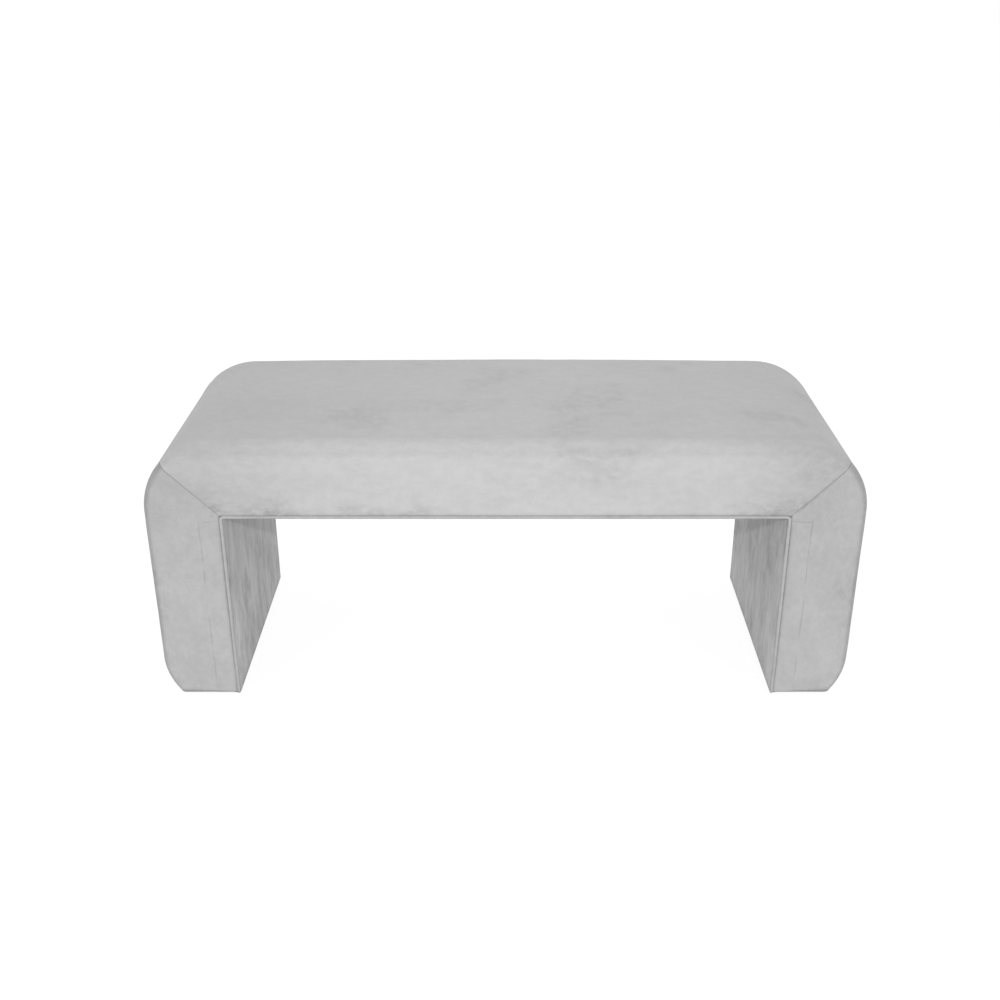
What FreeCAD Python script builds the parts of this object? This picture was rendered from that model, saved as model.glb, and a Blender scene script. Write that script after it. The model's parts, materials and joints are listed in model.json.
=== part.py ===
"""An upholstered waterfall bench: a padded seat that runs down into two slab legs.

Frame: origin on the floor under the middle of the bench, +X along the bench, +Y from its front
to its back, +Z up, millimetres. The pine and plywood frame is modelled from the inside out:
fasteners first, then the timber they hold, then foam, covers, piping and glides.
"""

import FreeCAD, Part

import math
import os

import Sketcher
from FreeCAD import Placement, Rotation, Vector

os.makedirs("parts", exist_ok=True)
doc = FreeCAD.newDocument("waterfall_bench")

# Driving dimensions, in millimetres (counts are plain numbers).
SIZES = {
    # The outside of the bench.
    "length": 1100,
    "depth": 400,
    "height": 450,
    "leg_thick": 122,
    "seat_thick": 135,
    "corner_radius": 118,
    "edge_radius": 18,
    "crown": 7,
    "crown_end": 0.4,
    "tuck_width": 20,
    "tuck_height": 62,
    # Soft layers.
    "cover_thick": 2,
    "soft_gap": 0.3,
    "padding_thick": 6,
    "welt_diameter": 5,
    "flap_width": 28,
    "dust_thick": 0.8,
    "dust_inset": 8,
    # Timber and sheet.
    "panel_thick": 3,
    "skin_thick": 6,
    "deck_thick": 12,
    "plate_thick": 12,
    "batten_thick": 25,
    "batten_width": 50,
    "rail_thick": 30,
    "rail_height": 60,
    "cross_offset": 150,
    "block_leg": 40,
    # Bolts that hold each leg to the seat frame.
    "bolt_diameter": 8,
    "bolt_spacing": 160,
    "bolt_play": 1,
    "bolt_end": 2,
    "hex_across": 13,
    "head_height": 5.3,
    "nut_height": 6.5,
    "washer_diameter": 16,
    "washer_thick": 1.6,
    # Wood screws.
    "screw_diameter": 4,
    "screw_head": 8,
    "screw_cone": 2.4,
    "screw_tip": 5,
    "deck_screw_length": 40,
    "deck_screw_pitch": 140,
    "rail_screw_length": 70,
    "stile_screw_length": 80,
    "side_screw_length": 25,
    "end_screw_spacing": 80,
    "foot_screw_length": 30,
    # Staples that hold the covers under the feet.
    "staple_wire": 0.8,
    "staple_width": 10,
    "staple_leg": 9,
    "staple_pitch": 38,
    "end_staple_pitch": 28,
    # Nail-on glides.
    "glide_height": 4,
    "glide_diameter": 24,
    "glide_chamfer": 1,
    "glide_inset": 10,
    "nail_diameter": 2.6,
    "nail_head": 8,
    "nail_head_thick": 1,
    "nail_length": 14,
}

sheet = doc.addObject("Spreadsheet::Sheet", "Sizes")
for row, (alias, number) in enumerate(SIZES.items(), start=1):
    sheet.set(f"A{row}", alias)
    sheet.set(f"B{row}", str(number))
    sheet.setAlias(f"B{row}", alias)
doc.recompute()


class Size:
    """A length that knows its number and the expression over the sheet that gives it."""

    def __init__(self, text, value):
        self.text = text
        self.value = float(value)

    @staticmethod
    def of(other):
        return other if isinstance(other, Size) else Size(f"({other})", other)

    def __add__(self, other):
        other = Size.of(other)
        return Size(f"({self.text} + {other.text})", self.value + other.value)

    def __sub__(self, other):
        other = Size.of(other)
        return Size(f"({self.text} - {other.text})", self.value - other.value)

    def __mul__(self, other):
        other = Size.of(other)
        return Size(f"({self.text} * {other.text})", self.value * other.value)

    def __truediv__(self, other):
        other = Size.of(other)
        return Size(f"({self.text} / {other.text})", self.value / other.value)

    def __neg__(self):
        return Size(f"(0 - {self.text})", -self.value)

    def root(self):
        return Size(f"sqrt({self.text})", math.sqrt(self.value))


class Driving:
    """Each driving dimension of the sheet, as a Size."""


size = Driving()
for alias in SIZES:
    setattr(size, alias, Size(f"Sizes.{alias}", sheet.get(alias)))

ZERO = Size("0", 0)
LEFT, RIGHT = -1, 1
FRONT, BACK = -1, 1
SIDES = (("left", LEFT), ("right", RIGHT))
FACES = (("front", FRONT), ("back", BACK))

# Levels along X, measured outwards from the middle of the bench.
half_length = size.length / 2
arch_x = half_length - size.leg_thick
panel_x = arch_x + size.cover_thick
frame_x = panel_x + size.panel_thick
skin_x = frame_x + size.batten_thick
core_x = skin_x + size.skin_thick
flap_x = arch_x + size.welt_diameter + size.soft_gap
post_x = frame_x + size.batten_thick / 2
foot_x = half_length - size.tuck_width
plate_x = foot_x - size.cover_thick - size.soft_gap
dust_x = foot_x - size.dust_inset
glide_x = (panel_x + plate_x) / 2

# Levels along Y, measured outwards from the middle of the bench.
half_depth = size.depth / 2
soft_y = half_depth - size.cover_thick - size.soft_gap
timber_y = soft_y - size.padding_thick
rail_y = timber_y - size.rail_thick
stile_y = timber_y - size.batten_width
post_y = timber_y - size.batten_width / 2
lining_y = half_depth - size.welt_diameter - size.soft_gap
dust_y = half_depth - size.dust_inset
glide_y = half_depth - size.flap_width - size.glide_inset - size.glide_diameter / 2

# Levels along Z, measured up from the floor.
dust_z = size.glide_height
foot_z = dust_z + size.dust_thick
plate_z = foot_z + size.cover_thick
stand_z = plate_z + size.plate_thick
arch_z = size.height - size.seat_thick
soffit_z = arch_z + size.cover_thick
rail_z = soffit_z + size.panel_thick
deck_z = rail_z + size.rail_height
foam_z = deck_z + size.deck_thick
flap_z = arch_z + size.welt_diameter + size.soft_gap

MARGIN = Size("20", 20)


def bind(item, **expressions):
    """Bind properties of a document object to expressions over the sheet."""
    for name, length in expressions.items():
        item.setExpression(name, Size.of(length).text)


def block(name, x, y, z):
    """A box between two levels on each axis."""
    item = doc.addObject("Part::Box", name)
    bind(item, Length=x[1] - x[0], Width=y[1] - y[0], Height=z[1] - z[0])
    for axis, low in zip("xyz", (x[0], y[0], z[0])):
        item.setExpression(f"Placement.Base.{axis}", low.text)
    return item


def mirror(span, side):
    """A pair of levels on the chosen side of the middle, low level first."""
    low, high = span
    return (low, high) if side > 0 else (-high, -low)


def both(level):
    """The pair of levels at the same distance on both sides of the middle."""
    return (-level, level)


def cut(name, base, *tools):
    """The base with every tool taken out of it."""
    for number, tool in enumerate(tools, start=1):
        last = number == len(tools)
        item = doc.addObject("Part::Cut", name if last else f"{name}_cut_{number}")
        item.Base = base
        item.Tool = tool
        base = item
    return base


def common(name, first, second):
    """What two objects share."""
    item = doc.addObject("Part::Common", name)
    item.Base = first
    item.Tool = second
    return item


def group(name, shapes):
    """Separate identical solids under one name."""
    item = doc.addObject("Part::Feature", name)
    item.Shape = Part.makeCompound(shapes)
    return item


def plane_of(body, role):
    """The origin plane or axis of a body."""
    return next(item for item in body.Origin.OriginFeatures if item.Role == role)


def sketch_on(body, name, role):
    """An empty sketch on an origin plane of its body."""
    sketch = body.newObject("Sketcher::SketchObject", name)
    sketch.AttachmentSupport = [(plane_of(body, role), "")]
    sketch.MapMode = "FlatFace"
    return sketch


def hold(sketch, kind, *where, length):
    """One named dimension of a sketch, bound to the sheet."""
    sketch.addConstraint(Sketcher.Constraint(kind, *where, length.value))
    number = sketch.ConstraintCount - 1
    sketch.setExpression(f"Constraints[{number}]", length.text)


def outline(sketch, steps, closed=True):
    """Draw lines and arcs from point to point; steps are (u, v) or (u, v, radius, turn).

    The radius and turn belong to the arc that arrives at the point: turn is 1 for a left-hand
    (anticlockwise) arc and -1 for a right-hand one. Every point and radius is bound.
    """
    count = len(steps) if closed else len(steps) - 1
    START, END = 1, 2
    starts = []
    for number in range(count):
        here = steps[number]
        there = steps[(number + 1) % len(steps)]
        first = Vector(here[0].value, here[1].value, 0)
        last = Vector(there[0].value, there[1].value, 0)
        if len(there) == 2:
            sketch.addGeometry(Part.LineSegment(first, last), False)
            starts.append((START, END))
            continue
        radius, turn = there[2], there[3]
        middle = (first + last) / 2
        chord = last - first
        reach = math.sqrt(radius.value ** 2 - (chord.Length / 2) ** 2)
        inward = Vector(-chord.y, chord.x, 0).normalize() * turn
        centre = middle + inward * reach
        ends = (first, last) if turn > 0 else (last, first)
        angles = [math.atan2(end.y - centre.y, end.x - centre.x) for end in ends]
        circle = Part.Circle(centre, Vector(0, 0, 1), radius.value)
        sketch.addGeometry(Part.ArcOfCircle(circle, angles[0], angles[1]), False)
        starts.append((START, END) if turn > 0 else (END, START))
        hold(sketch, "Radius", number, length=radius)
    for number in range(count):
        begin, finish = starts[number]
        if number == 0 and not closed:
            pin(sketch, number, begin, steps[0])
        following = (number + 1) % count
        if closed or number + 1 < count:
            join = (number, finish, following, starts[following][0])
            sketch.addConstraint(Sketcher.Constraint("Coincident", *join))
        pin(sketch, number, finish, steps[(number + 1) % len(steps)])


def pin(sketch, number, end, step):
    """Fix an end of a line or an arc at its two bound coordinates."""
    hold(sketch, "DistanceX", -1, 1, number, end, length=step[0])
    hold(sketch, "DistanceY", -1, 1, number, end, length=step[1])


def pad(body, sketch, length):
    """A sketch padded equally to both sides of its plane."""
    feature = body.newObject("PartDesign::Pad", f"{body.Name}_pad")
    feature.Profile = sketch
    feature.SideType = "Symmetric"
    bind(feature, Length=length)
    doc.recompute()
    return feature


def revolve(name, steps):
    """A body turned about Z from half its section in the XZ plane."""
    body = doc.addObject("PartDesign::Body", name)
    sketch = sketch_on(body, f"{name}_section", "XZ_Plane")
    outline(sketch, steps)
    turned = body.newObject("PartDesign::Revolution", f"{name}_turned")
    turned.Profile = sketch
    turned.ReferenceAxis = (plane_of(body, "Z_Axis"), [""])
    turned.Angle = 360
    doc.recompute()
    return body


def placed(master, spot, direction=Vector(0, 0, -1)):
    """A copy of a fastener drawn along -Z, with its head at a spot and its point turned."""
    shape = master.Shape.copy()
    shape.Placement = Placement(spot, Rotation(Vector(0, 0, -1), direction))
    return shape


def at(x, y, z):
    """A point from three Sizes."""
    return Vector(x.value, y.value, z.value)


# The outside form of the padding and the covers, drawn in by any inset.
edge_z = size.height - size.crown
corner_x = half_length - size.corner_radius
corner_z = edge_z - size.corner_radius
tuck_square = size.tuck_width * size.tuck_width + size.tuck_height * size.tuck_height
tuck_radius = tuck_square / (size.tuck_width * 2)
tuck_top = foot_z + size.tuck_height


def form(name, inset):
    """The whole bench as one filled block, inset from its outer skin."""
    body = doc.addObject("PartDesign::Body", f"{name}_block")
    sketch = sketch_on(body, f"{name}_profile", "XZ_Plane")
    side = half_length - inset
    top = edge_z - inset
    low = foot_z + inset
    drop = tuck_top - low
    arc_corner = size.corner_radius - inset
    arc_tuck = tuck_radius - inset
    low_x = half_length - tuck_radius + (arc_tuck * arc_tuck - drop * drop).root()
    outline(
        sketch,
        [
            (low_x, low),
            (side, tuck_top, arc_tuck, 1),
            (side, corner_z),
            (corner_x, top, arc_corner, 1),
            (-corner_x, top),
            (-side, corner_z, arc_corner, 1),
            (-side, tuck_top),
            (-low_x, low, arc_tuck, 1),
        ],
    )
    width = size.depth - inset * 2
    block_pad = pad(body, sketch, width)
    rounded = body.newObject("PartDesign::Fillet", f"{name}_edges")
    names = []
    for number, edge in enumerate(block_pad.Shape.Edges, start=1):
        on_face = all(abs(abs(point.Y) - width.value / 2) < 0.01 for point in edge.Vertexes)
        on_foot = all(abs(point.Z - low.value) < 0.01 for point in edge.Vertexes)
        if on_face and not on_foot:
            names.append(f"Edge{number}")
    rounded.Base = (block_pad, names)
    bind(rounded, Radius=size.edge_radius - inset)
    doc.recompute()
    crowned = doc.addObject("Part::Fuse", name)
    crowned.Base = body
    crowned.Tool = pillow(f"{name}_pillow", top)
    return crowned


def pillow(name, level):
    """The crown of the seat: highest in the middle, level with the form at its four edges."""
    body = doc.addObject("PartDesign::Body", name)
    reach = half_depth - size.edge_radius
    sections = []
    for station, x, rise in (
        ("left", -corner_x, size.crown_end),
        ("middle", ZERO, size.crown),
        ("right", corner_x, size.crown_end),
    ):
        sketch = sketch_on(body, f"{name}_{station}", "YZ_Plane")
        sketch.setExpression("AttachmentOffset.Base.z", x.text)
        radius = (reach * reach + rise * rise) / (rise * 2)
        outline(sketch, [(reach, level), (-reach, level, radius, 1)])
        sections.append(sketch)
    doc.recompute()
    loft = body.newObject("PartDesign::AdditiveLoft", f"{name}_loft")
    loft.Profile = sections[0]
    loft.Sections = sections[1:]
    doc.recompute()
    return body


def zone(name, steps):
    """A prism across the whole depth that picks out part of the form."""
    body = doc.addObject("PartDesign::Body", name)
    sketch = sketch_on(body, f"{name}_profile", "XZ_Plane")
    outline(sketch, steps)
    pad(body, sketch, size.depth + MARGIN)
    return body


# Bolts: a hexagon head, a shank through the end rail and the leg's top rail, washers and a nut.
leg_rail_z = rail_z - size.batten_width
washer_z = deck_z - size.head_height - size.washer_thick - size.bolt_play
head_z = washer_z + size.washer_thick
nut_z = leg_rail_z - size.washer_thick - size.nut_height
bolt_length = head_z - nut_z + size.bolt_end
hex_radius = size.hex_across / math.sqrt(3)


def rod(name, diameter, low, high):
    """An upright cylinder on the Z axis."""
    item = doc.addObject("Part::Cylinder", name)
    bind(item, Radius=diameter / 2, Height=high - low)
    item.setExpression("Placement.Base.z", low.text)
    return item


def hexagon(name, low, high):
    """An upright hexagonal prism on the Z axis."""
    item = doc.addObject("Part::Prism", name)
    item.Polygon = 6
    bind(item, Circumradius=hex_radius, Height=high - low)
    item.setExpression("Placement.Base.z", low.text)
    return item


bolt_shank = rod("bolt_shank", size.bolt_diameter, head_z - bolt_length, head_z)
bolt_head = hexagon("bolt_head", head_z, head_z + size.head_height)
bolt_master = doc.addObject("Part::Fuse", "bolt_master")
bolt_master.Base = bolt_head
bolt_master.Tool = bolt_shank
nut_blank = hexagon("nut_blank", nut_z, nut_z + size.nut_height)
nut_master = cut("nut_master", nut_blank, bolt_shank)
washer_hole = rod("washer_hole", size.bolt_diameter + size.bolt_play / 2, nut_z, deck_z)
washers = []
for name, low in (("upper", washer_z), ("lower", leg_rail_z - size.washer_thick)):
    disc = rod(f"{name}_disc", size.washer_diameter, low, low + size.washer_thick)
    washers.append(cut(f"{name}_washer", disc, washer_hole))
bore = rod("bolt_bore", size.bolt_diameter + size.bolt_play, leg_rail_z, deck_z)
counterbore = rod("counterbore", size.washer_diameter + size.bolt_play, washer_z, deck_z)
doc.recompute()

bolt_spots = [
    at(post_x * side, size.bolt_spacing / 2 * face, ZERO)
    for _, side in SIDES
    for _, face in FACES
]


def repeated(name, masters, spots):
    """Copies of upright masters moved sideways to each spot."""
    return group(name, [item.Shape.translated(spot) for spot in spots for item in masters])


leg_bolts = repeated("leg_bolts", [bolt_master], bolt_spots)
leg_bolt_nuts = repeated("leg_bolt_nuts", [nut_master], bolt_spots)
leg_bolt_washers = repeated("leg_bolt_washers", washers, bolt_spots)
bolt_bores = repeated("bolt_bores", [bore], bolt_spots)
counterbores = repeated("counterbores", [counterbore], bolt_spots)


def screw(name, length):
    """A countersunk wood screw drawn along -Z from the top of its head."""
    shank = size.screw_diameter / 2
    return revolve(
        name,
        [
            (ZERO, ZERO),
            (ZERO, -length),
            (shank, size.screw_tip - length),
            (shank, -size.screw_cone),
            (size.screw_head / 2, ZERO),
        ],
    )


# Screws: down through the deck, in through the rails and stiles, side panels and foot plates.
DECK_COLUMNS = 6
DOWN, UP = Vector(0, 0, -1), Vector(0, 0, 1)
deck_screw = screw("deck_screw", size.deck_screw_length)
deck_screw_reach = size.deck_screw_pitch * ((DECK_COLUMNS - 1) / 2)
rail_middle = (timber_y + rail_y) / 2
deck_screws = group(
    "deck_screws",
    [
        placed(deck_screw, at(size.deck_screw_pitch * column - deck_screw_reach, y, foam_z), DOWN)
        for column in range(DECK_COLUMNS)
        for y in both(rail_middle)
    ],
)
rail_screw = screw("rail_screw", size.rail_screw_length)
rail_screws = group(
    "rail_screws",
    [
        placed(rail_screw, at(x * side, timber_y * face, z), Vector(0, -face, 0))
        for x in (post_x, size.cross_offset)
        for _, side in SIDES
        for _, face in FACES
        for z in (rail_z + size.rail_height / 3, deck_z - size.rail_height / 3)
    ],
)
stile_screw = screw("stile_screw", size.stile_screw_length)
leg_rail_levels = (stand_z + size.batten_width / 2, rail_z - size.batten_width / 2)
stile_screws = group(
    "stile_screws",
    [
        placed(stile_screw, at(post_x * side, timber_y * face, z), Vector(0, -face, 0))
        for z in leg_rail_levels
        for _, side in SIDES
        for _, face in FACES
    ],
)
side_screw = screw("side_screw", size.side_screw_length)
leg_height = rail_z - stand_z
side_screw_levels = (
    (post_y, stand_z + leg_height / 3),
    (post_y, stand_z + leg_height * 2 / 3),
    (size.end_screw_spacing / 2, rail_z + size.rail_height / 2),
)
side_panel_screws = group(
    "side_panel_screws",
    [
        placed(side_screw, at(core_x * side, y * face, z), Vector(-side, 0, 0))
        for y, z in side_screw_levels
        for _, side in SIDES
        for _, face in FACES
    ],
)
foot_screw = screw("foot_screw", size.foot_screw_length)
foot_plate_screws = group(
    "foot_plate_screws",
    [
        placed(foot_screw, at(post_x * side, y * face, plate_z), UP)
        for y in (post_y, size.bolt_spacing / 2)
        for _, side in SIDES
        for _, face in FACES
    ],
)

# Staples through the turned-under flaps of the covers, and the nails of the glides.
staple_crown = block(
    "staple_crown",
    both(size.staple_width / 2),
    both(size.staple_wire / 2),
    (ZERO, size.staple_wire),
)
staple_legs = [
    block(
        f"staple_{name}_leg",
        mirror((size.staple_width / 2 - size.staple_wire, size.staple_width / 2), side),
        both(size.staple_wire / 2),
        (size.staple_wire, size.staple_leg),
    )
    for name, side in SIDES
]
staple_master = doc.addObject("Part::MultiFuse", "staple_master")
staple_master.Shapes = [staple_crown, *staple_legs]
doc.recompute()
OUTER_STAPLES = 9
END_STAPLES = 2
staple_x = foot_x - size.flap_width / 2
staple_y = half_depth - size.flap_width / 2
staples = []
for _, side in SIDES:
    for number in range(OUTER_STAPLES):
        y = size.staple_pitch * (number - (OUTER_STAPLES - 1) / 2)
        staples.append((at(staple_x * side, y, foot_z), 90))
    for number in range(1, END_STAPLES + 1):
        x = staple_x - size.end_staple_pitch * number
        for y in both(staple_y):
            staples.append((at(x * side, y, foot_z), 0))
staple_copies = []
for spot, angle in staples:
    copy = staple_master.Shape.copy()
    copy.Placement = Placement(spot, Rotation(UP, angle))
    staple_copies.append(copy)
cover_staples = group("cover_staples", staple_copies)

nail_z = size.glide_height - size.nail_head_thick * 2
nail_master = revolve(
    "nail_master",
    [
        (ZERO, nail_z),
        (size.nail_head / 2, nail_z),
        (size.nail_head / 2, nail_z + size.nail_head_thick),
        (size.nail_diameter / 2, nail_z + size.nail_head_thick),
        (size.nail_diameter / 2, nail_z + size.nail_length),
        (ZERO, nail_z + size.nail_length + size.nail_diameter / 2),
    ],
)
glide_blank = revolve(
    "glide_blank",
    [
        (ZERO, ZERO),
        (size.glide_diameter / 2 - size.glide_chamfer, ZERO),
        (size.glide_diameter / 2, size.glide_chamfer),
        (size.glide_diameter / 2, size.glide_height),
        (ZERO, size.glide_height),
    ],
)
glide_master = cut("glide_master", glide_blank, nail_master)
doc.recompute()
glide_spots = [
    at(glide_x * side, glide_y * face, ZERO)
    for _, side in SIDES
    for _, face in FACES
]
glide_nails = repeated("glide_nails", [nail_master], glide_spots)
glides = repeated("glides", [glide_master], glide_spots)

pieces = [leg_bolts, leg_bolt_nuts, leg_bolt_washers, deck_screws, rail_screws, stile_screws]
pieces += [side_panel_screws, foot_plate_screws, cover_staples, glide_nails, glides]


def timber(name, x, y, z, *fasteners):
    """A board between levels, bored for its fasteners and kept as a piece."""
    if not fasteners:
        item = block(name, x, y, z)
    else:
        item = cut(name, block(f"{name}_blank", x, y, z), *fasteners)
    pieces.append(item)
    return item


def foot_board(name, side, far, reach, z, *fasteners):
    """A board under a leg, its outer corners rounded like the leg, bored and kept as a piece."""
    board = doc.addObject("PartDesign::Body", f"{name}_blank")
    sketch = sketch_on(board, f"{name}_profile", "XY_Plane")
    rounded_x = far - size.edge_radius
    rounded_y = reach - size.edge_radius
    outline(
        sketch,
        [
            (panel_x * side, -reach),
            (rounded_x * side, -reach),
            (far * side, -rounded_y, size.edge_radius, side),
            (far * side, rounded_y),
            (rounded_x * side, reach, size.edge_radius, side),
            (panel_x * side, reach),
        ],
    )
    low, high = z
    pad(board, sketch, high - low)
    board.setExpression("Placement.Base.z", ((low + high) / 2).text)
    doc.recompute()
    item = cut(name, board, *fasteners)
    pieces.append(item)
    return item


# Seat frame: long rails run the whole way, end and cross rails stand between them.
for name, face in FACES:
    rail_span = mirror((rail_y, timber_y), face)
    timber(f"seat_{name}_rail", both(skin_x), rail_span, (rail_z, deck_z), deck_screws, rail_screws)
for name, side in SIDES:
    end_tools = (rail_screws, side_panel_screws, bolt_bores, counterbores)
    end_span = mirror((frame_x, skin_x), side)
    timber(f"seat_{name}_end_rail", end_span, both(rail_y), (rail_z, deck_z), *end_tools)
    cross_low = size.cross_offset - size.batten_thick / 2
    cross_span = mirror((cross_low, cross_low + size.batten_thick), side)
    timber(f"seat_{name}_cross_rail", cross_span, both(rail_y), (rail_z, deck_z), rail_screws)
timber("seat_deck", both(core_x), both(timber_y), (deck_z, foam_z), deck_screws)
timber("soffit_panel", both(panel_x), both(timber_y), (soffit_z, rail_z))

corner_blocks = []
for side_name, side in SIDES:
    for face_name, face in FACES:
        name = f"{side_name}_{face_name}_block"
        glue = doc.addObject("PartDesign::Body", name)
        glue_sketch = sketch_on(glue, f"{name}_profile", "XY_Plane")
        outline(
            glue_sketch,
            [
                (frame_x * side, rail_y * face),
                ((frame_x - size.block_leg) * side, rail_y * face),
                (frame_x * side, (rail_y - size.block_leg) * face),
            ],
        )
        pad(glue, glue_sketch, size.rail_height)
        glue.setExpression("Placement.Base.z", (rail_z + size.rail_height / 2).text)
        corner_blocks.append(glue)
doc.recompute()
seat_corner_blocks = doc.addObject("Part::Compound", "seat_corner_blocks")
seat_corner_blocks.Links = corner_blocks
pieces.append(seat_corner_blocks)

# Legs: a batten frame between a thin inner panel and the plywood side panel, on a foot plate.
for name, side in SIDES:
    leg = f"{name}_leg"
    post_span = mirror((frame_x, skin_x), side)
    for face_name, face in FACES:
        stile_tools = (stile_screws, side_panel_screws, foot_plate_screws)
        stile_span = mirror((stile_y, timber_y), face)
        timber(f"{leg}_{face_name}_stile", post_span, stile_span, (stand_z, rail_z), *stile_tools)
    timber(f"{leg}_top_rail", post_span, both(stile_y), (leg_rail_z, rail_z), stile_screws, bolt_bores)
    foot_rail = (stand_z, stand_z + size.batten_width)
    foot_tools = (stile_screws, foot_plate_screws)
    timber(f"{leg}_bottom_rail", post_span, both(stile_y), foot_rail, *foot_tools)
    panel_span = mirror((panel_x, frame_x), side)
    timber(f"{leg}_inner_panel", panel_span, both(timber_y), (stand_z, rail_z))
    skin_span = mirror((skin_x, core_x), side)
    timber(f"{leg}_side_panel", skin_span, both(timber_y), (stand_z, deck_z), side_panel_screws)
    plate_tools = (foot_plate_screws, cover_staples, glide_nails)
    foot_board(f"{name}_foot_plate", side, plate_x, timber_y, (plate_z, stand_z), *plate_tools)

# Foam: a crowned slab on the deck and one block outside each leg that fills the round corner.
foam_form = form("foam_form", size.cover_thick + size.soft_gap)
seat_foam_zone = block("seat_foam_zone", both(core_x), both(half_depth), (foam_z, size.height))
pieces.append(common("seat_foam", foam_form, seat_foam_zone))
for name, side in SIDES:
    foam_span = mirror((core_x, half_length), side)
    leg_zone = block(f"{name}_foam_zone", foam_span, both(half_depth), (stand_z, size.height))
    pieces.append(common(f"{name}_leg_foam", foam_form, leg_zone))

# Thin padding over the front and back edges of the timber.
for face_name, face in FACES:
    soft_span = mirror((timber_y, soft_y), face)
    timber(f"{face_name}_apron_padding", both(core_x), soft_span, (flap_z, foam_z))
    for name, side in SIDES:
        strip = mirror((flap_x, core_x), side)
        timber(f"{name}_leg_{face_name}_padding", strip, soft_span, (plate_z, flap_z))

# Covers: the outer form hollowed by its own thickness, open at the arch and under the feet.
outer_form = form("outer_form", ZERO)
inner_form = form("inner_form", size.cover_thick)
arch_cut = block("arch_cut", both(flap_x), both(half_depth + MARGIN), (-MARGIN, flap_z))
foot_windows = [
    block(
        f"{name}_foot_window",
        mirror((arch_x, foot_x - size.flap_width), side),
        both(half_depth - size.flap_width),
        (ZERO, plate_z),
    )
    for name, side in SIDES
]
shell = cut("cover_shell", outer_form, inner_form, arch_cut, *foot_windows, cover_staples)
far = size.leg_thick + size.seat_thick
seat_zone = zone(
    "seat_zone",
    [
        (-arch_x, arch_z),
        (arch_x, arch_z),
        (arch_x + far, arch_z + far),
        (-arch_x - far, arch_z + far),
    ],
)
pieces.append(common("seat_cover", shell, seat_zone))
for name, side in SIDES:
    leg_cover_zone = zone(
        f"{name}_cover_zone",
        [
            (arch_x * side, arch_z),
            ((arch_x + far) * side, arch_z + far),
            ((arch_x + far) * side, ZERO),
            (arch_x * side, ZERO),
        ],
    )
    pieces.append(common(f"{name}_leg_cover", shell, leg_cover_zone))

# Linings on the faces of the arch, and dust covers under the feet.
timber("soffit_lining", both(panel_x), both(lining_y), (arch_z, soffit_z))
for name, side in SIDES:
    lining_span = mirror((arch_x, panel_x), side)
    timber(f"{name}_leg_lining", lining_span, both(lining_y), (foot_z, arch_z))
    foot_board(f"{name}_foot_dust_cover", side, dust_x, dust_y, (dust_z, foot_z), glide_nails)

# Welts: a round cord in fabric that follows the arch along its front and back edges.
welt_x = arch_x + size.welt_diameter / 2
welt_z = arch_z + size.welt_diameter / 2
bend = size.welt_diameter
for face_name, face in FACES:
    name = f"{face_name}_welt"
    welt = doc.addObject("PartDesign::Body", name)
    path = sketch_on(welt, f"{name}_path", "XZ_Plane")
    outline(
        path,
        [
            (-welt_x, foot_z),
            (-welt_x, welt_z - bend),
            (bend - welt_x, welt_z, bend, -1),
            (welt_x - bend, welt_z),
            (welt_x, welt_z - bend, bend, -1),
            (welt_x, foot_z),
        ],
        closed=False,
    )
    section = sketch_on(welt, f"{name}_section", "XY_Plane")
    section.setExpression("AttachmentOffset.Base.x", (-welt_x).text)
    section.setExpression("AttachmentOffset.Base.z", foot_z.text)
    round_wire = Part.Circle(Vector(0, 0, 0), Vector(0, 0, 1), size.welt_diameter.value / 2)
    section.addGeometry(round_wire, False)
    section.addConstraint(Sketcher.Constraint("Coincident", 0, 3, -1, 1))
    hold(section, "Diameter", 0, length=size.welt_diameter)
    doc.recompute()
    cord = welt.newObject("PartDesign::AdditivePipe", f"{name}_cord")
    cord.Profile = section
    cord.Spine = path
    doc.recompute()
    welt.setExpression("Placement.Base.y", ((half_depth - size.welt_diameter / 2) * face).text)
    pieces.append(welt)

doc.recompute()
for item in doc.Objects:
    if {"Invalid", "Error"} & set(item.State):
        raise RuntimeError(f"{item.Name} is in error: {item.State}")
for item in pieces:
    if item.Shape.isNull() or not item.Shape.isValid() or not item.Shape.Solids:
        raise RuntimeError(f"{item.Name} is not a valid solid")
    item.Label = item.Name
    item.Shape.exportStep(f"parts/{item.Label}.step")
print(len(pieces), "pieces written")
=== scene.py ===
# %% [markdown]
# # A waterfall bench in grey velvet
# The bench is an inverted U: a padded seat that runs down through two round corners into slab
# legs. The timber, foam and fasteners come ready as a fixed frame. This lesson sews what the eye
# sees over them: the velvet covers, the piping, the linings of the arch and the dust covers.

# %% Load the frame
import json
import math

import bmesh
import bpy
import numpy as np
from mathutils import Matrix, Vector, noise


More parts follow.
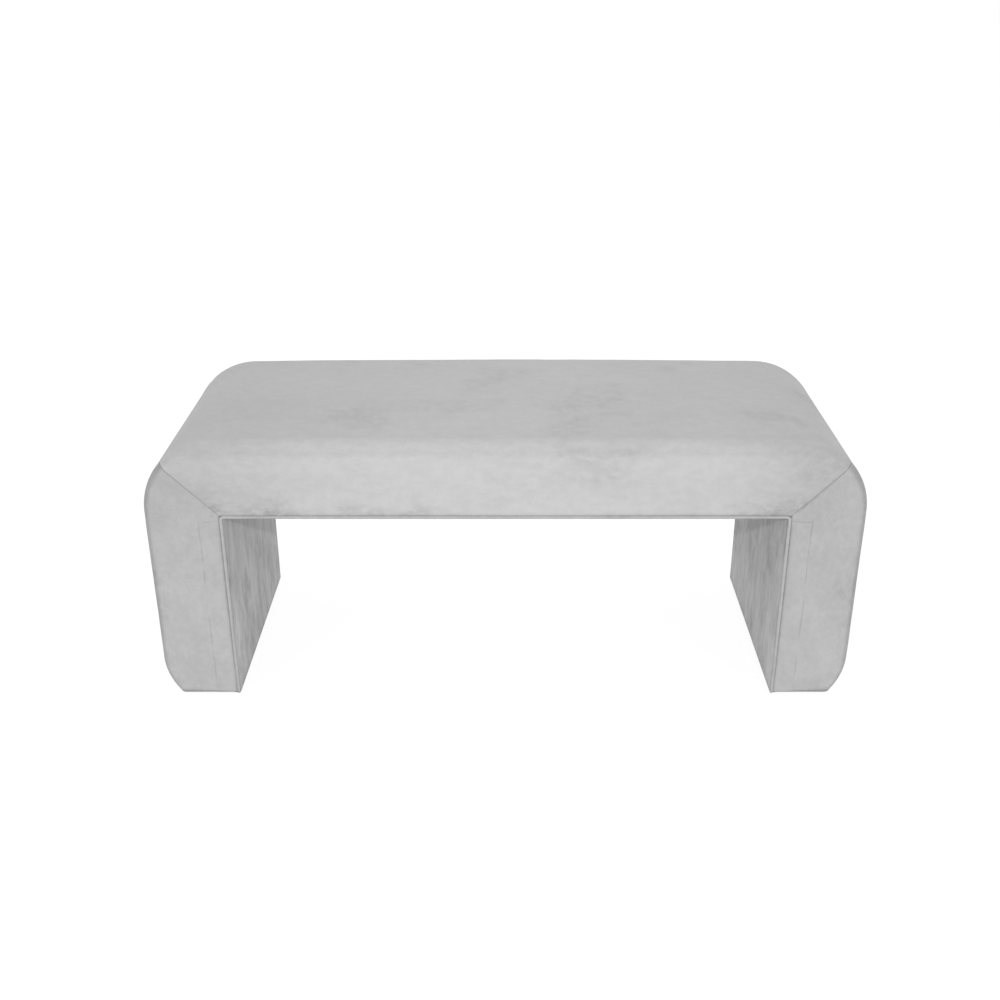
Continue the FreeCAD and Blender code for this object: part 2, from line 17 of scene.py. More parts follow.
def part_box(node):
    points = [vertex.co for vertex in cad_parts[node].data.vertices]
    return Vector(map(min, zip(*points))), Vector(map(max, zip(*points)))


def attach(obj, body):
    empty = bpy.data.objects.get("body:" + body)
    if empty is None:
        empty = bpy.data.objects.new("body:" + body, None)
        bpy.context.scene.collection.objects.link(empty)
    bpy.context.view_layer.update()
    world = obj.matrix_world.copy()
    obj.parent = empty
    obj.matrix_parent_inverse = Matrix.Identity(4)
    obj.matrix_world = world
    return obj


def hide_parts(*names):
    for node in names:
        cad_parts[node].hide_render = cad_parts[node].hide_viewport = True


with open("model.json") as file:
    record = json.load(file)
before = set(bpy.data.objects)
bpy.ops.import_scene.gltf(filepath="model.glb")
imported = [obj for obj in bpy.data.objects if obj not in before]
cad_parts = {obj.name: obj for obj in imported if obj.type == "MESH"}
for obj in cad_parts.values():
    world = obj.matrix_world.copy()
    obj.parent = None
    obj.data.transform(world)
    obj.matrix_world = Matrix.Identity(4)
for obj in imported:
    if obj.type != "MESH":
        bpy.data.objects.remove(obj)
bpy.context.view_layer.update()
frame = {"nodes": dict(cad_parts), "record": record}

# %% [markdown]
# ## Sizes
# Most places come from the frame's own boxes, so the cloth follows the carpentry. Only what a box
# doesn't hold is written here: how the padding is rounded, crowned and tucked in, and how far below
# the soffit the board in each leg ends.

# %% Read the sizes of the bench
MILLIMETRE = 0.001
half_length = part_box("right_leg_cover")[1].x
half_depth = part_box("seat_cover")[1].y
seat_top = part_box("seat_cover")[1].z
foot_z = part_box("right_leg_cover")[0].z
arch_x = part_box("right_leg_lining")[0].x
arch_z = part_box("soffit_lining")[0].z
welt_radius = (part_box("front_welt")[1].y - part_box("front_welt")[0].y) / 2
flap_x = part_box("right_leg_cover")[0].x
flap_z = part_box("seat_cover")[0].z
timber_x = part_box("right_leg_side_panel")[1].x
board_drop = 4 * MILLIMETRE
board_z = arch_z - board_drop
corner_radius = 118 * MILLIMETRE
edge_radius = 18 * MILLIMETRE
crown = 7 * MILLIMETRE
edge_sag = 2.5 * MILLIMETRE
tuck_width = 20 * MILLIMETRE
tuck_height = 62 * MILLIMETRE
edge_top = seat_top - crown
print("bench", half_length * 2, half_depth * 2, seat_top, "arch", arch_x * 2, arch_z)


# %% [markdown]
# ## Writing shaders as sums
# A finish is easiest to read as arithmetic. `Value` wraps a node socket, and its operators add
# Math nodes, so `1 - mask * 0.3` builds the graph that it spells. `Finish.node` adds any other
# node, with its settings first and its sockets after.

# %% A small language for finishes
class Value:
    """A number, colour or vector that varies over a surface."""

    def __init__(self, nodes, socket):
        self.nodes = nodes
        self.socket = socket

    def math(self, operation, other):
        return self.nodes.math(operation, self, other)

    def __add__(self, other):
        return self.math("ADD", other)

    __radd__ = __add__

    def __sub__(self, other):
        return self.math("SUBTRACT", other)

    def __rsub__(self, other):
        return self.nodes.math("SUBTRACT", other, self)

    def __mul__(self, other):
        return self.math("MULTIPLY", other)

    __rmul__ = __mul__

    def __abs__(self):
        return self.nodes.node("ShaderNodeMath", {"operation": "ABSOLUTE"}, {0: self})

    def between(self, low, high):
        """0 at low, 1 at high and smooth from one to the other."""
        sockets = {"Value": self, "From Min": low, "From Max": high}
        return self.nodes.node("ShaderNodeMapRange", {"interpolation_type": "SMOOTHSTEP"}, sockets)


class Nodes:
    """A node tree that is written as expressions."""

    def __init__(self, tree):
        self.tree = tree

    def plug(self, socket, value):
        """Link a value to a socket, or set the socket to a constant."""
        if isinstance(value, Value):
            self.tree.links.new(value.socket, socket)
        elif socket.type == "RGBA" and len(value) == 3:
            socket.default_value = (*value, 1)
        else:
            socket.default_value = value

    def node(self, kind, settings, sockets, output=0):
        """Any node: its settings first, then its sockets by name or number."""
        made = self.tree.nodes.new(kind)
        for setting, value in settings.items():
            setattr(made, setting, value)
        for socket, value in sockets.items():
            self.plug(made.inputs[socket], value)
        return Value(self, made.outputs[output])

    def math(self, operation, first, second):
        """A Math node with two terms."""
        return self.node("ShaderNodeMath", {"operation": operation}, {0: first, 1: second})

    def ray(self, *kinds):
        """1 where the surface is seen by one of these kinds of ray."""
        seen = [self.node("ShaderNodeLightPath", {}, {}, output=f"Is {kind} Ray") for kind in kinds]
        total = seen[0]
        for other in seen[1:]:
            total = total.math("MAXIMUM", other)
        return total


# A Mix node repeats its socket names for numbers, vectors and colours, so these go by number.
MIX_FIRST, MIX_SECOND, MIX_COLOUR = 6, 7, 2


class Finish(Nodes):
    """A material with one Principled surface."""

    def __init__(self, name, **constants):
        self.material = bpy.data.materials.new(name)
        self.material.use_nodes = True
        super().__init__(self.material.node_tree)
        self.surface = self.tree.nodes["Principled BSDF"]
        for socket, value in constants.items():
            self.surface.inputs[socket.replace("_", " ")].default_value = value

    def spot(self):
        """The point on the bench, in metres."""
        return self.node("ShaderNodeNewGeometry", {}, {}, output="Position")

    def along(self, axis):
        """How far along an axis of the bench the point lies."""
        return self.node("ShaderNodeSeparateXYZ", {}, {"Vector": self.spot()}, output=axis)

    def facing(self, axis):
        """How squarely the surface faces an axis of the bench, from -1 to 1."""
        normal = self.node("ShaderNodeNewGeometry", {}, {}, output="Normal")
        return self.node("ShaderNodeSeparateXYZ", {}, {"Vector": normal}, output=axis)

    def noise(self, scale, stretch=(1, 1, 1), detail=3.0, rough=0.5, bend=0.0):
        """Soft noise, drawn out along the axes with a small stretch."""
        place = self.node("ShaderNodeMapping", {}, {"Vector": self.spot(), "Scale": stretch})
        sockets = {"Vector": place, "Scale": scale, "Detail": detail, "Roughness": rough}
        return self.node("ShaderNodeTexNoise", {}, {**sockets, "Distortion": bend})

    def mix(self, share, first, second):
        """A colour between two colours."""
        sockets = {"Factor": share, MIX_FIRST: first, MIX_SECOND: second}
        return self.node("ShaderNodeMix", {"data_type": "RGBA"}, sockets, output=MIX_COLOUR)

    def painted(self, name):
        """A number painted on the mesh."""
        return self.node("ShaderNodeAttribute", {"attribute_name": name}, {}, output="Fac")

    def bump(self, height, distance, strength):
        """A normal that follows a height, where a height of 1 is the distance in metres."""
        sockets = {"Height": height, "Distance": distance, "Strength": strength}
        return self.node("ShaderNodeBump", {}, sockets)

    def feed(self, **links):
        """Plug values into the surface and hand over the material."""
        for socket, value in links.items():
            self.plug(self.surface.inputs[socket.replace("_", " ")], value)
        return self.material


# %% [markdown]
# ## Velvet
# Short-pile velvet is one colour of yarn. What the eye sees as cloudy patches is the pile leaning
# this way and that: where it leans away, it looks darker. So the colour is one grey moved a
# little by soft clouds, by a few darker smudges where the pile was rubbed, by flecks and by fine
# grain. Light and shade are painted into the colour as well: painted shade where the cloth turns
# over an edge, found from the facing of the surface, and painted light and shade that follow how
# the lamps fall. A constant sheen gives the pale rim of pile at a glancing angle.

# %% Describe the pile
PILE_PALE = (0.640, 0.640, 0.640)
PILE_DARK = (0.300, 0.300, 0.300)
# The darkest painted shade, laid down the seam grooves.
SEAM_SHADE_DARK = (0.160, 0.160, 0.160)
NAP_DEPTH = 0.4 * MILLIMETRE
CREASE_SHADE = 0.30


class Velvet(Finish):
    """Short pile, with the patterns that every panel shares."""

    def __init__(self, name, stretch=(1, 1, 1)):
        super().__init__(name, Sheen_Weight=0.15, Sheen_Roughness=0.45, Specular_IOR_Level=0.12)
        self.grain = self.noise(420, detail=2.0).between(0.25, 0.75)
        self.fleck = self.noise(95, stretch, detail=5.0, rough=0.65).between(0.34, 0.66)
        # Painted shade along the seams, the hems and the edges of the sheets, painted on the mesh.
        self.seam_shade = self.painted("seam_shade")

    def clouds(self, scale, stretch=(1, 1, 1), rough=0.55, bend=0.0):
        """Broad soft patches where the pile leans another way."""
        return self.noise(scale, stretch, detail=3.0, rough=rough, bend=bend).between(0.30, 0.72)

    def rubbed(self, stretch, low, high):
        """Patches where the pile was rubbed, ragged with the marks of the hand inside them."""
        patch = self.noise(9, stretch, detail=3.0, rough=0.5, bend=0.1).between(low, high)
        marks = self.noise(70, stretch, detail=5.0, rough=0.7).between(0.38, 0.62)
        return patch * (0.20 + 0.80 * marks)

    def finish(self, shade, cloud, rub):
        """A velvet whose shade goes from pale to dark pile, with painted shade in its seams and hems."""
        nap = self.noise(900, detail=2.0, rough=0.7)
        relief = nap * 0.7 + self.grain * 0.3 + rub * 0.4
        # Painted shade at the seams and hems darkens the pile, darkest down the seam grooves.
        creased = shade + self.seam_shade * CREASE_SHADE
        colour = self.mix(creased + self.grain * 0.05, PILE_PALE, PILE_DARK)
        seam_shade_share = self.seam_shade.between(0.45, 1.0) * 0.70
        return self.feed(
            Base_Color=self.mix(seam_shade_share, colour, SEAM_SHADE_DARK),
            Roughness=0.80 + cloud * 0.08 + rub * 0.06,
            Normal=self.bump(relief, NAP_DEPTH, 0.5),
        )


print("pile from", PILE_PALE[0], "down to", PILE_DARK[0], "and painted_seam_shade", SEAM_SHADE_DARK[0])

# %% Make the velvet of the seat
SEAT_SHADE = 0.25
ROLL_START = 20 * MILLIMETRE
ROLL_END = 31 * MILLIMETRE
# The band along the hem that is rubbed and also painted paler.
HEM_RUB_AND_LIGHT_START = 50 * MILLIMETRE
HEM_RUB_AND_LIGHT_FULL = 5 * MILLIMETRE


def seat_finish():
    """The seat: rubbed at the hem, painted shade on the long edges and ends, and a paler painted apron.
    """
    cloth = Velvet("seat_velvet", (0.55, 0.8, 1.0))
    along = abs(cloth.along("X"))
    turn = abs(cloth.facing("Y"))
    height = cloth.along("Z")
    apron = turn.between(0.20, 0.72)
    rolled = height.between(edge_top - ROLL_END, edge_top - ROLL_START)
    # Where painted shade darkens the rolled long edges.
    edge = apron * rolled.math("MAXIMUM", turn.between(0.96, 0.80))
    low_edge = height.between(arch_z + HEM_RUB_AND_LIGHT_START, arch_z + HEM_RUB_AND_LIGHT_FULL) * apron
    ends = along.between(0.30, 0.50)
    cloud = cloth.clouds(6, (0.7, 1.0, 1.2), bend=0.3)
    rub = cloth.rubbed((0.9, 0.9, 1.4), 0.54, 0.68)
    hem_rub = cloth.rubbed((0.9, 1.0, 1.3), 0.44, 0.66) * (0.2 * apron + low_edge)
    worn = cloud * 0.06 + cloth.fleck * (0.07 + 0.03 * apron) + rub * 0.15 + hem_rub * 0.30
    # Painted light and shade: shade over the rolled edge, a paler apron that turns darker at the ends,
    # paler still by the hem.
    painted_light = edge * (0.10 - ends * 0.02) - apron * (0.08 - ends * 0.12) - low_edge * 0.06
    # Painted shade, darker towards the ends of the seat.
    outer = along.between(0.05, 0.42) * 0.08 + ends * 0.06
    return cloth.finish(SEAT_SHADE + outer + worn + painted_light, cloud, rub)


seat_velvet = seat_finish()
print("made", seat_velvet.name)

# %% Make the velvet of the legs
LEG_SHADE = 0.32
LINE_WANDER = 6 * MILLIMETRE
LINE_CORE = 0.3 * MILLIMETRE
UPRIGHT_LINE = 1.4 * MILLIMETRE
LEVEL_LINE = 1.2 * MILLIMETRE
LINE_OVERRUN = 3 * MILLIMETRE
LINE_FADE = 2 * MILLIMETRE
FOOT_SHADOW_BAND = 4 * MILLIMETRE


def board_mark(cloth):
    """The edge of the board under a leg's cloth: a thin line that wanders and breaks."""
    height = cloth.along("Z")
    across = abs(cloth.along("X"))
    line_top = board_z + LINE_OVERRUN
    wander = (cloth.noise(9, (0, 0, 1), detail=2.0) - 0.5) * LINE_WANDER
    upright = abs(across + wander - timber_x).between(UPRIGHT_LINE, LINE_CORE)
    upright = upright * height.between(line_top + LINE_FADE, line_top)
    level = abs(height - board_z).between(LEVEL_LINE, LINE_CORE)
    level = level * across.between(timber_x + LINE_FADE / 2, timber_x - LINE_FADE / 2)
    broken = cloth.noise(24, (1, 0.2, 1), detail=3.0).between(0.38, 0.60)
    square_on = abs(cloth.facing("Y")).between(0.90, 0.98)
    return upright.math("MAXIMUM", level) * broken * square_on


def leg_finish():
    """The legs: softer clouds, the board's edge as a thin broken line, painted shade on rims, foot and
    top.
    """
    cloth = Velvet("leg_velvet")
    height = cloth.along("Z")
    turn = abs(cloth.facing("Y"))
    cloud = cloth.clouds(7, (1.2, 1.0, 0.8), bend=0.6)
    rub = cloth.rubbed((1.3, 1.2, 0.9), 0.52, 0.70)
    mottle = cloth.noise(34, detail=4.0, rough=0.6).between(0.34, 0.66)
    worn = cloud * 0.07 + mottle * 0.07 + cloth.fleck * 0.09 + rub * 0.14 + board_mark(cloth) * 0.27
    # Painted shade on the rounded outer rims of the leg fronts.
    rim = turn.between(0.995, 0.75) * turn.between(0.05, 0.50)
    side = turn.between(0.30, 0.0)
    # A painted shadow in a thin band along the foot.
    foot = height.between(foot_z + FOOT_SHADOW_BAND, foot_z)
    # Painted shade on the rims, darker towards the top and as a shadow at the foot; the outer side is
    # painted a little paler.
    painted_light = rim * 0.28 - side * 0.10 + height.between(-0.10, 0.45) * 0.16 + foot * 0.24
    return cloth.finish(LEG_SHADE + worn + painted_light, cloud, rub)


leg_velvet = leg_finish()
print("made", leg_velvet.name)

# %% Make the velvet of the linings and the piping
LINING_SHADE = -0.06
WELT_SHADE = 0.42


def lining_finish():
    """The faces of the arch: combed up and down, so the pile is streaked, with painted shade darker up
    under the soffit.
    """
    cloth = Velvet("lining_velvet", (1, 1, 0.4))
    cloud = cloth.clouds(8, (1.0, 1.4, 0.5), bend=0.6)
    rub = cloth.rubbed((1.0, 1.6, 0.8), 0.42, 0.60)
    combed = cloth.noise(42, (1, 1, 0.30), detail=5.0, rough=0.65, bend=0.5).between(0.40, 0.66)
    # Painted shade, darker up under the soffit.
    soffit_shade = cloth.along("Z").between(0.02, 0.30)
    worn = cloud * 0.10 + rub * 0.30 + combed * 0.33 + cloth.fleck * 0.17
    return cloth.finish(LINING_SHADE + soffit_shade * 0.25 + worn, cloud, rub)


def welt_finish():
    """The piping: cut on the bias, so its pile is even, with painted shade where it faces the floor."""
    cloth = Velvet("welt_velvet")
    cloud = cloth.clouds(14, rough=0.5)
    rub = cloth.rubbed((1.5, 1.5, 1.5), 0.54, 0.72)
    # Painted shade where the piping faces the floor.
    under = cloth.facing("Z").between(0.0, -0.7)
    worn = cloud * 0.06 + rub * 0.12 + cloth.fleck * 0.12
    return cloth.finish(WELT_SHADE + worn + under * 0.24, cloud, rub)


lining_velvet = lining_finish()
welt_velvet = welt_finish()
print("made", lining_velvet.name, "and", welt_velvet.name)

# %% [markdown]
# ## Timber, board, foam and steel
# These sit inside the covers and show only when the bench is opened up, but a part that is taken
# apart should look right too. Wood is rings cut lengthwise: bands along one axis, bent by noise.

# %% Make the inner finishes
PINE_COLOURS = (0.80, 0.62, 0.38), (0.58, 0.38, 0.18)
BIRCH_COLOURS = (0.78, 0.64, 0.44), (0.62, 0.46, 0.28)
HARDBOARD_COLOURS = (0.40, 0.25, 0.14), (0.26, 0.15, 0.08)
FOAM_COLOURS = (0.88, 0.83, 0.62), (0.78, 0.71, 0.48)
WADDING_COLOURS = (0.88, 0.88, 0.86), (0.76, 0.76, 0.74)
DUST_COLOURS = (0.035, 0.035, 0.035), (0.014, 0.014, 0.014)
ZINC_COLOURS = (0.66, 0.67, 0.69), (0.52, 0.53, 0.56)
NYLON_COLOURS = (0.045, 0.045, 0.045), (0.030, 0.030, 0.030)
GRAIN_LENGTHWISE, GRAIN_CROSSWISE = 0.7, 9.0


def pine(name, along):
    """Planed pine with its grain along an axis."""
    wood = Finish(name, Specular_IOR_Level=0.3)
    stretch = tuple(GRAIN_LENGTHWISE if axis == along else GRAIN_CROSSWISE for axis in "xyz")
    ring = wood.noise(4, stretch, detail=4.0, rough=0.55, bend=1.2).between(0.35, 0.65)
    fibre = wood.noise(40, stretch, detail=3.0, rough=0.6).between(0.3, 0.7)
    return wood.feed(
        Base_Color=wood.mix(ring * 0.7 + fibre * 0.3, *PINE_COLOURS),
        Roughness=0.55 + fibre * 0.15,
        Normal=wood.bump(ring * 0.5 + fibre * 0.5, 0.3 * MILLIMETRE, 0.4),
    )


def plywood():
    """Birch plywood: pale, with thin plies."""
    ply = Finish("birch_plywood", Specular_IOR_Level=0.3)
    figure = ply.noise(6, (1, 6, 10), detail=4.0, bend=0.8).between(0.3, 0.7)
    fleck = ply.noise(160, (0.3, 2, 2), detail=2.0).between(0.4, 0.7)
    return ply.feed(
        Base_Color=ply.mix(figure * 0.7 + fleck * 0.3, *BIRCH_COLOURS),
        Roughness=0.6 + fleck * 0.1,
        Normal=ply.bump(fleck, 0.2 * MILLIMETRE, 0.4),
    )


def speckled(name, pale, dark, scale, rough, height, metallic=0.0):
    """A finish whose colour, roughness and relief follow one fine speckle, its height in mm."""
    stuff = Finish(name, Metallic=metallic)
    fine = stuff.noise(scale, detail=4.0, rough=0.65).between(0.3, 0.7)
    broad = stuff.noise(scale / 12, detail=2.0).between(0.3, 0.7)
    return stuff.feed(
        Base_Color=stuff.mix(fine * 0.7 + broad * 0.3, pale, dark),
        Roughness=rough + fine * 0.12,
        Normal=stuff.bump(fine, height * MILLIMETRE, 0.6),
    )


finishes = {
    "pine": pine("pine_along", "x"),
    "plywood": plywood(),
    "hardboard": speckled("hardboard", *HARDBOARD_COLOURS, scale=300, rough=0.55, height=0.2),
    "foam": speckled("foam", *FOAM_COLOURS, scale=900, rough=0.85, height=0.6),
    "wadding": speckled("wadding", *WADDING_COLOURS, scale=240, rough=0.9, height=1.0),
    "dust_cloth": speckled("dust_cloth", *DUST_COLOURS, scale=700, rough=0.85, height=0.3),
    "zinc_steel": speckled("zinc_steel", *ZINC_COLOURS, scale=220, rough=0.28, height=0.1, metallic=1.0),
    "nylon": speckled("nylon", *NYLON_COLOURS, scale=500, rough=0.42, height=0.1),
    "velvet": seat_velvet,
}
pine_across = pine("pine_across", "y")
pine_upright = pine("pine_upright", "z")
print("finishes for", ", ".join(finishes))

# %% Dress the CAD nodes
slot_of = {part["node"]: part["material_slot"] for part in frame["record"]["subparts"]}
for node, thing in frame["nodes"].items():
    finish = finishes[slot_of[node]]
    if "stile" in node:
        finish = pine_upright
    elif node.endswith(("end_rail", "cross_rail", "top_rail", "bottom_rail")):
        finish = pine_across
    thing.data.materials.clear()
    thing.data.materials.append(finish)
print("finished CAD nodes", len(frame["nodes"]))

# %% [markdown]
# ## The line of the padding
# Seen from the front, the outside of the bench is one line: up the leg from a tucked-in foot,
# round the corner, and along a slightly crowned seat. Half of it is drawn here, from the middle
# of the seat to the foot, with the direction that faces out at every point.

# %% Draw half the outline
OUTLINE_STEP = 0.5 * MILLIMETRE
corner_x = half_length - corner_radius
sag_radius = (corner_x ** 2 + edge_sag ** 2) / (2 * edge_sag)
sag_centre = np.array([0, edge_top - sag_radius])
corner_rise = math.sqrt((sag_radius - corner_radius) ** 2 - corner_x ** 2)
corner_centre = np.array([corner_x, sag_centre[1] + corner_rise])
tuck_radius = (tuck_width ** 2 + tuck_height ** 2) / (2 * tuck_width)
tuck_centre = np.array([half_length - tuck_radius, foot_z + tuck_height])


def arc(centre, radius, start, end):
    """Points and outward directions along an arc, clockwise from one angle to another."""
    count = max(2, int(radius * abs(start - end) / OUTLINE_STEP))
    angles = np.linspace(start, end, count)
    out = np.stack([np.cos(angles), np.sin(angles)], axis=1)
    return centre + radius * out, out


to_corner = corner_centre - sag_centre
corner_angle = math.atan2(to_corner[1], to_corner[0])
top_points, top_out = arc(sag_centre, sag_radius, math.pi / 2, corner_angle)
bend_points, bend_out = arc(corner_centre, corner_radius, corner_angle, 0)
side_z = np.arange(corner_centre[1], tuck_centre[1], -OUTLINE_STEP)[1:]
side_points = np.stack([np.full_like(side_z, half_length), side_z], axis=1)
side_out = np.tile([1.0, 0.0], (len(side_z), 1))
tuck_points, tuck_out = arc(tuck_centre, tuck_radius, 0, -math.asin(tuck_height / tuck_radius))
line = np.concatenate([top_points, bend_points[1:], side_points, tuck_points])
facing = np.concatenate([top_out, bend_out[1:], side_out, tuck_out])
run = np.concatenate([[0], np.cumsum(np.linalg.norm(np.diff(line, axis=0), axis=1))])
mitre_index = int(np.argmax(line[:, 0] - arch_x >= line[:, 1] - arch_z))
mitre_run = run[mitre_index]
print("outline", round(run[-1], 4), "m, mitre at", np.round(line[mitre_index], 4))


def outline_at(distance):
    """Points and outward directions at distances along the half outline."""
    pick = [np.interp(distance, run, line[:, k]) for k in range(2)]
    out = np.stack([np.interp(distance, run, facing[:, k]) for k in range(2)], axis=1)
    return np.stack(pick, axis=1), out / np.linalg.norm(out, axis=1, keepdims=True)


# %% [markdown]
# ## The covers
# Each cover is one panel of velvet that folds over the long edges, so it is a grid: columns run
# along the bench and rows run round the section, up the front apron, over the rounded edge, across
# the top and down the back. Seat and legs are sewn along a mitre, so their columns at the seam share
# one line. The grid is closer near that seam, where the cloth is drawn in.

# %% Lay out rows and columns
SEAM_STEPS = np.array([0, 0.7, 1.5, 2.4, 3.6, 5.2, 7.4, 10.4, 14.0]) * MILLIMETRE
COLUMN = 5 * MILLIMETRE
APRON_ROWS = 34
EDGE_ROWS = 12
TOP_ROWS = 64
TURN_IN = 7 * MILLIMETRE
TURN_UNDER = 5 * MILLIMETRE
SLACK = 1.5 * MILLIMETRE
SWELL_RISE = 2.5


def seam_spaced(length):
    """Distances from a seam at 0 to length, close together near the seam."""
    rest = length - SEAM_STEPS[-1]
    even = np.linspace(0, rest, int(round(rest / COLUMN)) + 1)[1:]
    return np.concatenate([SEAM_STEPS, SEAM_STEPS[-1] + even])


class Panel:
    """The grid of one cover: its points, which way they face, and how free each is to swell."""

    def __init__(self, line_points, line_out, inner, tuck):
        self.points = []
        self.out = []
        self.apron_share = []
        self.top_share = []
        reach = half_depth - edge_radius
        rim = line_points - edge_radius * line_out
        front = half_depth - SLACK
        no_lean = np.zeros_like(line_out)
        sides = {}
        for face in (-1, 1):
            rows = [(inner + tuck, face * (half_depth - TURN_IN), no_lean, face, 0.0)]
            for share in np.linspace(0, 1, APRON_ROWS + 1):
                rows.append((inner + share * (rim - inner), face * front, no_lean, face, share))
            for turn in np.linspace(0, math.pi / 2, EDGE_ROWS + 1)[1:]:
                swung = rim + (edge_radius - SLACK) * math.sin(turn) * line_out
                y = face * (reach + (edge_radius - SLACK) * math.cos(turn))
                rows.append((swung, y, line_out * math.sin(turn), face * math.cos(turn), 1.0))
            sides[face] = rows
        for step in sides[-1]:
            self.row(*step, 1.0)
        for y in np.linspace(-reach, reach, TOP_ROWS + 1)[1:-1]:
            self.row(line_points - SLACK * line_out, y, line_out, 0.0, 1.0, y / reach)
        for step in reversed(sides[1]):
            self.row(*step, 1.0)
        self.points = np.stack(self.points, axis=1)
        self.out = np.stack(self.out, axis=1)
        self.apron_share = np.tile(self.apron_share, (len(line_points), 1))
        self.top_share = np.tile(self.top_share, (len(line_points), 1))
        from_edge = np.maximum(1 - np.abs(self.top_share), 1 - self.apron_share)
        ease = np.clip(from_edge * SWELL_RISE, 0, 1)
        self.free = ease ** 2 * (3 - 2 * ease)

    def row(self, spots, y, out, out_y, apron_share, top_share):
        """One row of points along the bench."""
        count = len(spots)
        self.points.append(np.column_stack([spots[:, 0], np.full(count, y), spots[:, 1]]))
        self.out.append(np.column_stack([out[:, 0], np.full(count, out_y), out[:, 1]]))
        self.apron_share.append(apron_share)
        self.top_share.append(top_share)


seam_gaps = seam_spaced(mitre_run)
half_points, half_out = outline_at(mitre_run - seam_gaps)
mirror = np.array([-1.0, 1.0])
seat_points = np.concatenate([half_points * mirror, half_points[::-1][1:]])
seat_out = np.concatenate([half_out * mirror, half_out[::-1][1:]])
seat_gap = np.concatenate([seam_gaps, seam_gaps[::-1][1:]])
seat_inner = np.column_stack(
    [seat_points[:, 0] * flap_x / half_points[0, 0], np.full(len(seat_points), flap_z)]
)
leg_gap = seam_spaced(run[-1] - mitre_run)
leg_points, leg_out = outline_at(mitre_run + leg_gap)
leg_fall = flap_z - (flap_z - foot_z) * leg_gap / leg_gap[-1]
leg_inner = np.column_stack([np.full(len(leg_gap), flap_x), leg_fall])
print("columns", len(seat_points), "and", len(leg_points))

# %% [markdown]
# The foam under a tight cover pushes back, so the cloth swells between its seams. Blender's Cloth
# does this well: the seams, the hem at the piping and the foot are pinned, a gentle pressure blows
# the panel up, and gravity is off because foam carries the cloth. The cloth starts a little inside
# its place, and no point may move far, so the bench keeps its size. Only the movement is kept.

# %% Let the covers swell
PRESSURE = 1.6
FRAMES = 20
MOST_MOVE = 3.0 * MILLIMETRE
TINY = 1e-9


def grid_mesh(name, points):
    """A mesh of quads from a grid of points."""
    numbers = np.arange(points.shape[0] * points.shape[1]).reshape(points.shape[:2])
    corners = [numbers[:-1, :-1], numbers[:-1, 1:], numbers[1:, 1:], numbers[1:, :-1]]
    mesh = bpy.data.meshes.new(name)
    quads = np.stack(corners, axis=-1).reshape(-1, 4)
    mesh.from_pydata(points.reshape(-1, 3).tolist(), [], quads.tolist())
    return mesh


def face_out(mesh, points, out):
    """Turn the faces the way the panel faces, judged at its middle."""
    columns, rows = points.shape[:2]
    face = mesh.polygons[(columns // 2) * (rows - 1) + rows // 2]
    direction = Vector(out[columns // 2, rows // 2])
    if face.normal.dot(direction) < 0:
        mesh.flip_normals()


def swell(points, out):
    """The movement of a pinned panel under pressure, as one vector for each grid point."""
    mesh = grid_mesh("swelling", points)
    face_out(mesh, points, out)
    panel = bpy.data.objects.new("swelling", mesh)
    bpy.context.scene.collection.objects.link(panel)
    numbers = np.arange(points.shape[0] * points.shape[1]).reshape(points.shape[:2])
    held = [numbers[0], numbers[-1], numbers[:, 0], numbers[:, 1], numbers[:, -2], numbers[:, -1]]
    pins = panel.vertex_groups.new(name="held")
    pins.add(np.unique(np.concatenate(held)).tolist(), 1.0, "REPLACE")
    cloth = panel.modifiers.new("cloth", "CLOTH")
    cloth.settings.quality = 4
    cloth.settings.vertex_group_mass = "held"
    cloth.settings.tension_stiffness = 12
    cloth.settings.compression_stiffness = 8
    cloth.settings.bending_stiffness = 0.4
    cloth.settings.shrink_min = -0.002
    cloth.settings.use_pressure = True
    cloth.settings.uniform_pressure_force = PRESSURE
    cloth.settings.effector_weights.gravity = 0
    cloth.collision_settings.use_collision = False
    cloth.point_cache.frame_end = FRAMES
    for frame_number in range(1, FRAMES + 1):
        bpy.context.scene.frame_set(frame_number)
    blown = panel.evaluated_get(bpy.context.evaluated_depsgraph_get())
    spots = np.empty(points.size, dtype=np.float32)
    blown.data.vertices.foreach_get("co", spots)
    move = spots.reshape(points.shape) - points
    bpy.context.scene.frame_set(1)
    bpy.data.objects.remove(panel)
    far = np.linalg.norm(move, axis=-1, keepdims=True)
    middle, most = np.median(far) / MILLIMETRE, far.max() / MILLIMETRE
    print("swelled", round(float(middle), 2), "mm, at most", round(float(most), 2))
    return move * MOST_MOVE * np.tanh(far / MOST_MOVE) / np.maximum(far, TINY)


# %% [markdown]
# Some things come after the swelling, because it would smooth them away. The seat is crowned. On
# each leg, the board by the arch stands a little proud of the foam beside it. The mitre seam is
# pulled in, with tiny puckers. The hem at the piping is drawn tight. The pile lies a little
# unevenly everywhere. Each moves the cloth in or out along its own facing, and none can press it
# into the foam.

# %% Shape the cloth
BROAD_WAVE = 0.50 * MILLIMETRE
FINE_WAVE = 0.25 * MILLIMETRE
SEAM_DEPTH = 1.5 * MILLIMETRE
SEAM_WIDTH = 2.2 * MILLIMETRE
SEAM_SHADE_WIDTH = 0.9 * MILLIMETRE
PUCKER_DEPTH = 0.50 * MILLIMETRE
PUCKER_CHANGE = 0.35 * MILLIMETRE
PUCKER_REACH = 11 * MILLIMETRE
HEM_DEPTH = 0.4 * MILLIMETRE
HEM_WIDTH = 3 * MILLIMETRE
HEM_SHADE = 0.6
BOARD_PROUD = 0.4 * MILLIMETRE
BOARD_STEP = 2.5 * MILLIMETRE
FOAM_LIMIT = -0.6 * MILLIMETRE
NOISE_STRIDE = (7.31, 3.17, 5.73)
seam_height = edge_top - flap_z


